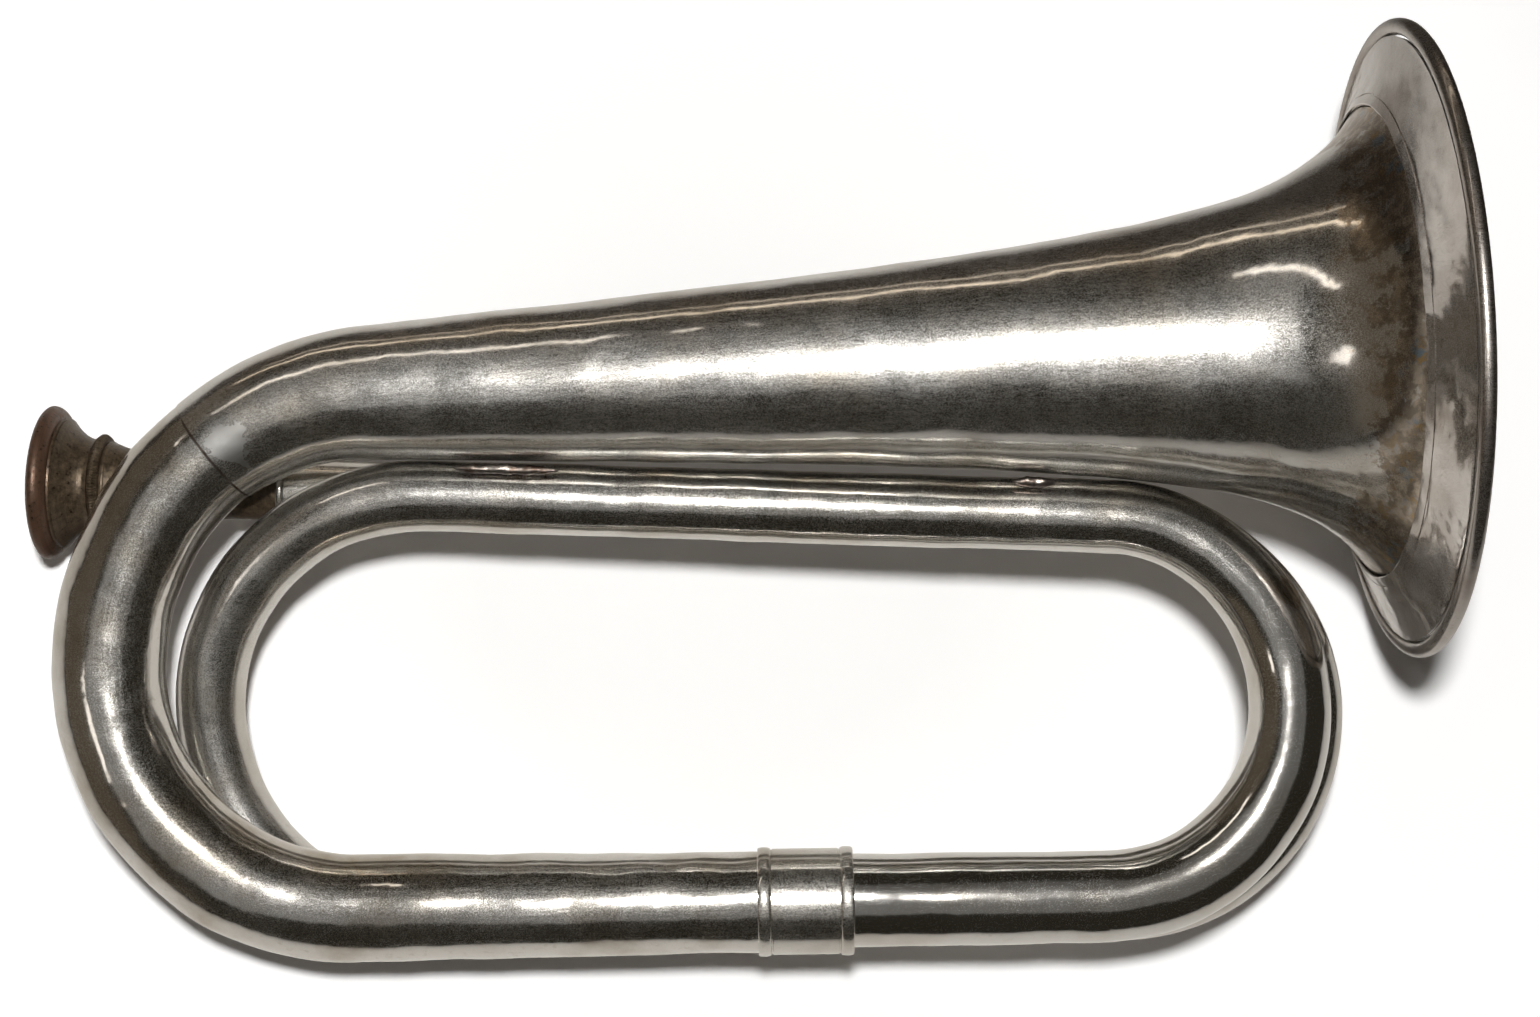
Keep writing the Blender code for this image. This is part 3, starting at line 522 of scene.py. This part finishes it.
mouthpipe = draw_tube("mouthpipe_tube", run_spots(
    mouthpipe_start, mouthpipe_end, mouthpipe_heading, (mouthpipe_small_radius, mouthpipe_large_radius), 80),
    small_tube_sides)
rear_right_bow = draw_tube("rear_right_bow_tube", bow_spots(
    rear_bow_centre, rear_bow_radius, (mouthpipe_heading, rear_heading - math.tau),
    (mouthpipe_end.z, rear_start.z), (mouthpipe_large_radius, rear_small_radius), 72),
    small_tube_sides, tube_end(mouthpipe))
rear_bottom_tube = draw_tube("rear_bottom_run", run_spots(
    rear_start, rear_end, rear_heading, (rear_small_radius, rear_large_radius), 76),
    small_tube_sides, tube_end(rear_right_bow))
rear_silver = old_silver("rear_silver", clean=(0.60, 0.58, 0.54, 1.0), tarnish=(0.27, 0.21, 0.14, 1.0),
                         tarnish_share=0.70, rub_level=0.75, wave_depth=0.00010)
for piece, node in (
    (rear_bottom_tube, "rear_bottom_tube"),
    (rear_right_bow, "rear_right_bow"),
    (mouthpipe, "mouthpipe"),
):
    dent_and_wall(piece, rear_dent_depth, tube_wall)
    piece.data.materials.append(rear_silver)
    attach(piece, "horn")
    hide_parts(node)

# Ferrule: a short turned sleeve that covers the joint in the bottom run, soldered over both tubes,
# with a bead and a cut line at each end.
ferrule_half = 0.0090
ferrule_radius = 0.00997
ferrule_bead_width = 0.0024
ferrule_bead_height = 0.0003
ferrule_line_width = 0.0004
ferrule_line_depth = 0.00016
ferrule_branch_bore = 0.00952
ferrule_tube_bore = 0.00908
ferrule_sides = 96
ferrule_bead_steps = 12
ferrule_end = []
for i in range(ferrule_bead_steps + 1):
    angle = math.pi * i / ferrule_bead_steps
    ferrule_end.append((ferrule_radius + ferrule_bead_height * math.sin(angle),
                        ferrule_half - ferrule_bead_width * (1.0 - math.cos(angle)) / 2))
line_top = ferrule_half - ferrule_bead_width
ferrule_end += [
    (ferrule_radius - ferrule_line_depth, line_top - ferrule_line_width * 0.25),
    (ferrule_radius - ferrule_line_depth, line_top - ferrule_line_width * 0.75),
    (ferrule_radius, line_top - ferrule_line_width),
]
ferrule_outline = ferrule_end + [(ferrule_radius, 0.0)]
ferrule_outline += [(radius, -height) for radius, height in reversed(ferrule_end)]
ferrule_outline += [
    (ferrule_branch_bore, -ferrule_half),
    (ferrule_branch_bore, 0.0),
    (ferrule_tube_bore, 0.0),
    (ferrule_tube_bore, ferrule_half),
]
ferrule = turn_on_lathe("ferrule_sleeve", ferrule_middle, -heading_vector(branch_heading), ferrule_outline,
                        ferrule_sides)
ferrule_silver = old_silver("ferrule_silver", clean=(0.60, 0.58, 0.54, 1.0), tarnish=(0.28, 0.22, 0.15, 1.0),
                            tarnish_share=0.60, rub_level=0.71, wave_depth=0.00005)
ferrule.data.materials.append(ferrule_silver)
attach(ferrule, "horn")
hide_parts("bottom_ferrule")

# Soft solder: beads run into the grooves where the tubes touch, and a rough fillet round the bell seam,
# dull grey and stained brown by the flux.
bead_radius = 0.0010
bead_lump_depth = 0.0007
seam_lump_depth = 0.00012
seam_sides = 120
solder_lumps = bpy.data.textures.new("solder_lumps", "CLOUDS")
solder_lumps.noise_scale = 0.0022
solder = bpy.data.materials.new("soft_solder")
solder.use_nodes = True
tree = solder.node_tree
surface = tree.nodes["Principled BSDF"]
place = shader(tree, "TexCoord", {}).outputs["Object"]
flux = noise(tree, place, 420.0, 4.0, 0.6)
solder_grey = (0.26, 0.235, 0.21, 1.0)
flux_brown = (0.085, 0.058, 0.046, 1.0)
tree.links.new(colour_mix(tree, ramp(tree, flux, 0.35, 0.62), solder_grey, flux_brown),
               surface.inputs["Base Color"])
surface.inputs["Metallic"].default_value = 1.0
tree.links.new(ramp(tree, flux, 0.3, 0.7, 0.28, 0.50), surface.inputs["Roughness"])
grain = shader(tree, "Bump", {"Strength": 0.6, "Distance": 0.00006, "Height": noise(tree, place, 1500.0)})
tree.links.new(grain.outputs["Normal"], surface.inputs["Normal"])
seam_place = upper_bow_centre - right_of(seam_heading) * upper_bow_radius
seam_solder = turn_on_lathe("seam_solder_fillet", seam_place, heading_vector(seam_heading), [
    (0.01060, -0.0006), (0.01079, -0.00045), (0.01083, -0.0002), (0.01090, 0.0), (0.01094, 0.0001),
    (0.01085, 0.0003), (0.01060, 0.0002),
], seam_sides)
solder_pieces = [(seam_solder, None, seam_lump_depth)]
top_run = heading_vector(top_heading)
rear_run = (rear_end - rear_start).normalized()
for name, node, run, length in (
    ("bell_solder_near_bead", "bell_solder_near", top_run, 0.0200),
    ("bell_solder_far_bead", "bell_solder_far", top_run, 0.0080),
    ("rear_solder_left_bead", "rear_solder_left", rear_run, 0.0140),
    ("rear_solder_right_bead", "rear_solder_right", rear_run, 0.0140),
    ("mouthpipe_solder_bead", "mouthpipe_solder", top_run, 0.0140),
):
    low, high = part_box(node)
    bpy.ops.object.select_all(action="DESELECT")
    bpy.ops.mesh.primitive_uv_sphere_add(segments=24, ring_count=40, radius=1.0, location=(low + high) / 2,
                                         rotation=(coil_turn @ run).to_track_quat("Z", "Y").to_euler(),
                                         scale=(bead_radius, bead_radius, length / 2))
    bead = bpy.context.active_object
    bead.name = name
    bpy.ops.object.transform_apply()
    bpy.ops.object.shade_smooth()
    solder_pieces.append((bead, node, bead_lump_depth))
for piece, node, lump_depth in solder_pieces:
    bpy.context.view_layer.objects.active = piece
    lumps = piece.modifiers.new("lumps", "DISPLACE")
    lumps.texture = solder_lumps
    lumps.texture_coords = "LOCAL"
    lumps.strength = lump_depth
    bpy.ops.object.modifier_apply(modifier=lumps.name)
    piece.data.materials.append(solder)
    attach(piece, "horn")
    if node:
        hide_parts(node)

# Receiver: a turned sleeve soldered over the mouthpipe, tapered inside to hold the mouthpiece shank,
# with a raised ring at its open end.
receiver_face = Vector((-0.020091, -0.018584, -0.0183))
mouthpiece_axis = Vector((-0.999221, 0.037674, -0.011788))
receiver_sides = 72
receiver_ring = turn_on_lathe("receiver_end_ring", receiver_face, mouthpiece_axis, [
    (0.00578, 0.0), (0.00640, 0.0), (0.00672, -0.00012), (0.00687, -0.00036), (0.00690, -0.00070),
    (0.00687, -0.00104), (0.00672, -0.00128), (0.00640, -0.0014), (0.00578, -0.0014),
], receiver_sides)
receiver_sleeve = turn_on_lathe("receiver_sleeve_tube", receiver_face, mouthpiece_axis, [
    (0.00638, -0.00150), (0.00638, -0.0180), (0.00635, -0.0332), (0.00625, -0.0338), (0.00600, -0.0340),
    (0.00572, -0.0340), (0.00572, -0.0226), (0.00508, -0.0223), (0.00573, -0.00150),
], receiver_sides)
for piece, node in ((receiver_ring, "receiver_ring"), (receiver_sleeve, "receiver_sleeve")):
    piece.data.materials.append(ferrule_silver)
    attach(piece, "horn")
    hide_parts(node)

# Mouthpiece: turned bronze, darkened with age, in three fitted pieces. The cup has a rounded rim that
# is worn bare to a copper brown, over a milled ring and a shank that plugs into the receiver.
rim_top = 0.0469
rim_crown = 0.0016
cup_bore = 0.0088
cup_rim_radius = 0.0151
cup_base = 0.0363
cup_base_radius = 0.0088
rim_back = 0.0024
ring_bore = 0.00608
cup_sides = 96
notch_radius = 0.0125
notch_drop = 0.0043
cup_shoulder_radius = 0.0127
cup_shoulder_drop = 0.0048
cup_rim_steps = 30
cup_wall_steps = 18
cup_bowl_steps = 12
cup_flick = 0.0003
cup_flick_start = 0.85
cup_outline = []
for i in range(cup_rim_steps + 1):
    angle = math.radians(between(165.0, -78.0, i / cup_rim_steps))
    lift = rim_crown if angle > 0.0 else rim_back
    cup_outline.append((between(cup_bore, cup_rim_radius, (1.0 + math.cos(angle)) / 2),
                        rim_top - rim_crown + lift * math.sin(angle)))
cup_outline += [(notch_radius, rim_top - notch_drop), (0.0126, rim_top - 0.0045)]
for i in range(cup_wall_steps + 1):
    share = i / cup_wall_steps
    flick = cup_flick * max(share - cup_flick_start, 0.0) / 0.15
    cup_outline.append((between(cup_shoulder_radius, cup_base_radius, 1.0 - (1.0 - share) ** 2.0) + flick,
                        between(rim_top - cup_shoulder_drop, cup_base, share)))
cup_outline.append((ring_bore, cup_base))
for i in range(cup_bowl_steps):
    share = i / cup_bowl_steps
    cup_outline.append((between(ring_bore, cup_bore, math.sin(share * math.pi / 2)),
                        between(cup_base + 0.0034, rim_top - rim_crown, share)))
cup = turn_on_lathe("mouthpiece_cup_turning", receiver_face, mouthpiece_axis, cup_outline, cup_sides)

milled_teeth = 108
milled_ring_radius = 0.0099
milled_tooth_depth = 0.00045
milled_sides = milled_teeth * 4
joint_gap = 0.00003
milled_top = cup_base - joint_gap
milled_foot = cup_base - 0.00213
milled_outline = [
    (ring_bore, milled_top),
    (milled_ring_radius - 0.00090, milled_top),
    (milled_ring_radius - 0.00038, milled_top - 0.00030),
    (milled_ring_radius, milled_top - 0.00085),
    (milled_ring_radius, milled_foot + 0.00085),
    (milled_ring_radius - 0.00038, milled_foot + 0.00030),
    (milled_ring_radius - 0.00090, milled_foot),
    (ring_bore, milled_foot),
]
milled_ring = turn_on_lathe("mouthpiece_milled_ring_turning", receiver_face, mouthpiece_axis, milled_outline,
                            milled_sides)
for ring in (2, 3, 4, 5):
    radius, height = milled_outline[ring]
    for vertex in milled_ring.data.vertices:
        in_ring = vertex.index // milled_sides == ring
        vertex.select = in_ring and vertex.index % 4 < 2
    for edge in milled_ring.data.edges:
        edge.select = False
    for face in milled_ring.data.polygons:
        face.select = False
    scale = (radius - milled_tooth_depth) / radius
    bpy.ops.object.mode_set(mode="EDIT")
    bpy.ops.mesh.select_mode(type="VERT")
    bpy.ops.transform.resize(value=(scale, scale, scale),
                             center_override=coil @ (receiver_face + mouthpiece_axis * height))
    bpy.ops.object.mode_set(mode="OBJECT")

shank_top = milled_foot - joint_gap
tenon_radius = 0.0059
tenon_top = cup_base + 0.0032
collar_radius = 0.0083
collar_bulge = 0.0002
collar_width = 0.0010
collar_steps = 8
neck_radius = 0.0066
neck_length = 0.0060
neck_steps = 12
bore_steps = 12
shank_outline = [(tenon_radius, tenon_top), (tenon_radius, shank_top)]
for i in range(collar_steps + 1):
    angle = math.pi * i / collar_steps
    shank_outline.append((collar_radius + collar_bulge * math.sin(angle),
                          shank_top - collar_width * (1.0 - math.cos(angle)) / 2))
neck_top = shank_top - collar_width
for i in range(1, neck_steps + 1):
    share = i / neck_steps
    shank_outline.append((between(collar_radius, neck_radius, 1.0 - (1.0 - share) ** 1.4),
                          between(neck_top, neck_top - neck_length, share)))
shank_outline += [(0.0056, 0.0), (0.0049, -0.0216), (0.0047, -0.0220), (0.0036, -0.0220)]
for i in range(bore_steps + 1):
    share = 1.0 - i / bore_steps
    shank_outline.append((between(0.0051, 0.0021, 1.0 - (1.0 - share) ** 2),
                          between(tenon_top, cup_base - 0.0168, share)))
shank = turn_on_lathe("mouthpiece_shank_turning", receiver_face, mouthpiece_axis, shank_outline, cup_sides)

bronze = bpy.data.materials.new("dark_bronze")
bronze.use_nodes = True
tree = bronze.node_tree
surface = tree.nodes["Principled BSDF"]
place = shader(tree, "TexCoord", {}).outputs["Object"]
straight = shader(tree, "Attribute", {}, attribute_name="straight").outputs["Vector"]
height = shader(tree, "SeparateXYZ", {"Vector": straight}).outputs["X"]
patina = noise(tree, place, 900.0, 6.0, 0.72)
turning = noise(tree, stretched(tree, straight, (4200.0, 40.0, 40.0)), 1.0, 3.0, 0.7)
old_bronze = (0.046, 0.032, 0.020, 1.0)
pale_bronze = (0.150, 0.108, 0.066, 1.0)
copper_brown = (0.120, 0.058, 0.036, 1.0)
brown = colour_mix(tree, ramp(tree, patina, 0.35, 0.70), old_bronze, pale_bronze)
worn = ramp(tree, height, 0.0426, 0.0432)
bare = calculate(tree, "MULTIPLY", worn, ramp(tree, patina, 0.35, 0.65, 0.25, 1.0))
colour = colour_mix(tree, bare, brown, copper_brown)
tree.links.new(colour_mix(tree, 1.0, colour, ramp(tree, turning, 0.3, 0.7, 0.75, 1.1), "MULTIPLY"),
               surface.inputs["Base Color"])
surface.inputs["Metallic"].default_value = 0.55
tree.links.new(ramp(tree, patina, 0.35, 0.65, 0.26, 0.58), surface.inputs["Roughness"])
grooves = shader(tree, "Bump", {"Strength": 0.6, "Distance": 0.000030, "Height": turning})
pits = shader(tree, "Bump", {"Strength": 0.7, "Distance": 0.00008, "Height": noise(tree, place, 1400.0),
                             "Normal": grooves.outputs["Normal"]})
tree.links.new(pits.outputs["Normal"], surface.inputs["Normal"])
for piece, node in (
    (cup, "mouthpiece_cup"),
    (milled_ring, "mouthpiece_milled_ring"),
    (shank, "mouthpiece_shank"),
):
    piece.data.materials.append(bronze)
    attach(piece, "mouthpiece")
    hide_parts(node)

# Floor: a plain pale sheet under the horn, white where the lamp falls on it. In metal it shows as paper,
# with the dim room past its edge.
floor_size = 40.0
bpy.ops.object.select_all(action="DESELECT")
bpy.ops.mesh.primitive_plane_add(size=floor_size, location=(0.0, 0.0, 0.0))
floor = bpy.context.active_object
floor.name = "floor"
pale_floor = bpy.data.materials.new("pale_floor")
pale_floor.use_nodes = True
tree = pale_floor.node_tree
pale_surface = tree.nodes["Principled BSDF"]
place = shader(tree, "TexCoord", {}).outputs["Object"]
sheet_y = shader(tree, "SeparateXYZ", {"Vector": place}).outputs["Y"]
reach = shader(tree, "VectorMath", {0: place}, operation="LENGTH").outputs["Value"]
rays = shader(tree, "LightPath", {}).outputs
seen = calculate(tree, "MAXIMUM", rays["Is Camera Ray"], rays["Is Transmission Ray"])
past_sheet = calculate(tree, "MAXIMUM", ramp(tree, sheet_y, 0.10, 0.16), ramp(tree, reach, 0.60, 0.90))
mirrored_paper = (0.80, 0.78, 0.75, 1.0)
mirrored_dark = (0.055, 0.046, 0.038, 1.0)
lit_paper = (0.88, 0.87, 0.86, 1.0)
white_near = (1.02, 1.02, 1.03, 1.0)
white_far = (1.32, 1.33, 1.35, 1.0)
mirrored = colour_mix(tree, past_sheet, mirrored_paper, mirrored_dark)
lit = colour_mix(tree, rays["Is Glossy Ray"], lit_paper, mirrored)
white = colour_mix(tree, ramp(tree, reach, 0.05, 0.20), white_near, white_far)
tree.links.new(colour_mix(tree, seen, lit, white), pale_surface.inputs["Base Color"])
pale_surface.inputs["Roughness"].default_value = 0.9
pale_surface.inputs["Specular IOR Level"].default_value = 0.1
pale_surface.inputs["Emission Color"].default_value = (1.0, 1.0, 1.0, 1.0)
tree.links.new(calculate(tree, "MULTIPLY", seen, ramp(tree, reach, 0.24, 0.75)),
               pale_surface.inputs["Emission Strength"])
floor.data.materials.append(pale_floor)

# Studio light: a round soft lamp close to the camera throws the shadow, and soft panels stand above,
# in a dim brown room.
turn = coil_turn.to_matrix()
key_place = Vector((0.075, 0.070, 0.60))
key_facing = Vector((-0.03, 0.10, 0.60))
panel_distance = 1.3


def coil_direction(polar, azimuth):
    """The direction at a polar angle from the camera's axis and an azimuth from the bell's side."""
    polar = math.radians(polar)
    azimuth = math.radians(azimuth)
    sideways = math.sin(polar)
    return turn @ Vector((sideways * math.cos(azimuth), sideways * math.sin(azimuth), math.cos(polar)))


bpy.ops.object.light_add(type="AREA")
key = bpy.context.active_object
key.name = "key_lamp"
key.data.shape = "DISK"
key.data.size = 0.050
key.data.energy = 3.7
key.data.color = (1.0, 0.99, 0.97)
key.location = coil @ key_place
key.rotation_euler = (turn @ key_facing).to_track_quat("Z", "Y").to_euler()


def panel(name, polar, azimuth, width, height, radiance, colour):
    """A soft panel, facing the horn from a set distance."""
    bpy.ops.object.light_add(type="AREA")
    lamp = bpy.context.active_object
    lamp.name = name
    lamp.data.shape = "RECTANGLE"
    lamp.data.size = width
    lamp.data.size_y = height
    lamp.data.energy = radiance * math.pi * width * height
    lamp.data.color = colour
    direction = coil_direction(polar, azimuth)
    lamp.location = direction * panel_distance
    lamp.rotation_euler = direction.to_track_quat("Z", "Y").to_euler()


panel("window_panel", polar=54.0, azimuth=122.0, width=0.75, height=0.08, radiance=2.6,
      colour=(1.0, 0.93, 0.85))
panel("small_window_panel", polar=39.0, azimuth=197.0, width=0.22, height=0.16, radiance=2.0,
      colour=(1.0, 0.94, 0.88))
panel("near_strip_panel", polar=85.0, azimuth=100.0, width=1.6, height=0.06, radiance=2.4,
      colour=(1.0, 0.85, 0.68))
panel("far_strip_panel", polar=96.0, azimuth=92.0, width=1.6, height=0.03, radiance=1.8,
      colour=(1.0, 0.86, 0.70))

world = bpy.data.worlds.new("dim_room")
world.use_nodes = True
bpy.context.scene.world = world
tree = world.node_tree
direction = shader(tree, "TexCoord", {}).outputs["Generated"]
rise = shader(tree, "SeparateXYZ", {"Vector": direction}).outputs["Z"]
rays = shader(tree, "LightPath", {}).outputs
soft_low = (0.07, 0.062, 0.056, 1.0)
soft_high = (0.030, 0.026, 0.023, 1.0)
wall_brown = (0.029, 0.026, 0.020, 1.0)
side_wall_brown = (0.110, 0.090, 0.066, 1.0)
ceiling_grey = (0.265, 0.260, 0.250, 1.0)
soft_room = colour_mix(tree, ramp(tree, rise, 0.0, 0.35), soft_low, soft_high)
bell_way = turn @ Vector((1.0, 0.0, 0.0))
up_way = turn @ Vector((0.0, 1.0, 0.0))
across = shader(tree, "VectorMath", {0: direction, 1: bell_way}, operation="DOT_PRODUCT").outputs["Value"]
upward = shader(tree, "VectorMath", {0: direction, 1: up_way}, operation="DOT_PRODUCT").outputs["Value"]
ceiling = ramp(tree, rise, 0.2, 0.3)
for side, edge, end in (
    (across, -0.54, -0.44), (across, 0.62, 0.55), (upward, -0.50, -0.43), (upward, 0.78, 0.70),
):
    ceiling = calculate(tree, "MULTIPLY", ceiling, ramp(tree, side, edge, end))
ceiling = calculate(tree, "MULTIPLY", ceiling, ramp(tree, across, -0.35, 0.30, 1.0, 0.55))
ceiling = calculate(tree, "MULTIPLY", ceiling, ramp(tree, upward, 0.30, 0.60, 1.0, 0.55))
far_wall = colour_mix(tree, ramp(tree, across, -0.58, -0.72), wall_brown, side_wall_brown)
mirrored_room = colour_mix(tree, ceiling, far_wall, ceiling_grey)
room = colour_mix(tree, rays["Is Glossy Ray"], soft_room, mirrored_room)
seen = calculate(tree, "MAXIMUM", rays["Is Camera Ray"], rays["Is Transmission Ray"])
tree.links.new(colour_mix(tree, seen, room, (1.0, 1.0, 1.0, 1.0)), tree.nodes["Background"].inputs["Color"])

# Camera: straight above the coil, at the photograph's distance and angle.
camera_place = Vector((0.076, -0.022, 0.485))
camera_data = bpy.data.cameras.new("camera")
camera_data.sensor_width = 36.0
camera_data.lens = 59.77
camera = bpy.data.objects.new("camera", camera_data)
bpy.context.scene.collection.objects.link(camera)
camera.matrix_world = coil @ Matrix.Translation(camera_place)
bpy.context.scene.camera = camera
bpy.context.scene.view_settings.view_transform = "Standard"
